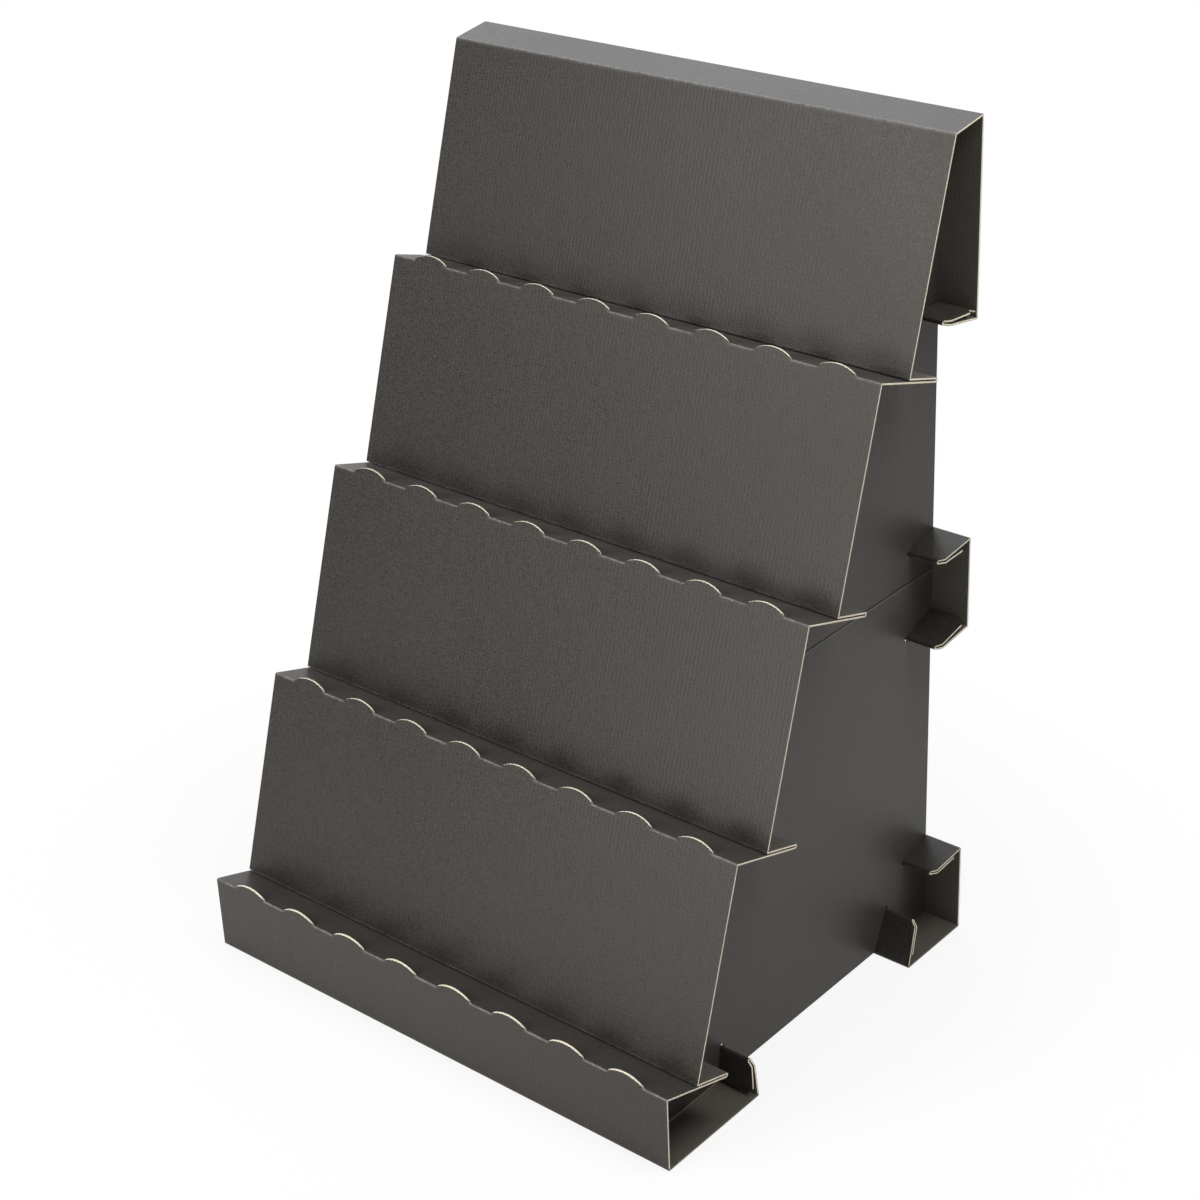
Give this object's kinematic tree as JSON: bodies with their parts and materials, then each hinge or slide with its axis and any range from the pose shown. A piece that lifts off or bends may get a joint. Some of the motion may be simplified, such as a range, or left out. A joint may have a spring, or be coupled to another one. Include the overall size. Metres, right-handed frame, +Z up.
{
  "type": "cardboard display stand",
  "caption": "Tiered counter display of folded black board: stepped shelves with half-moon tabs, leaning risers and a header, slotted onto side panels that hemmed braces join at the back.",
  "frame": {"origin": "centre of the footprint, on the surface that the stand rests on", "axes": "+Z up, front with the shelves towards -Y, +X to the right as seen from the front"},
  "size_m": [0.44, 0.3582, 0.6424],
  "materials": {
    "black_board": "satin black fluted board, pale at its cut edges"
  },
  "bodies": {
    "root": {"front_sheet": "black_board", "left_side_panel": "black_board", "right_side_panel": "black_board", "mid_brace": "black_board", "lower_brace": "black_board"}
  },
  "joints": []
}
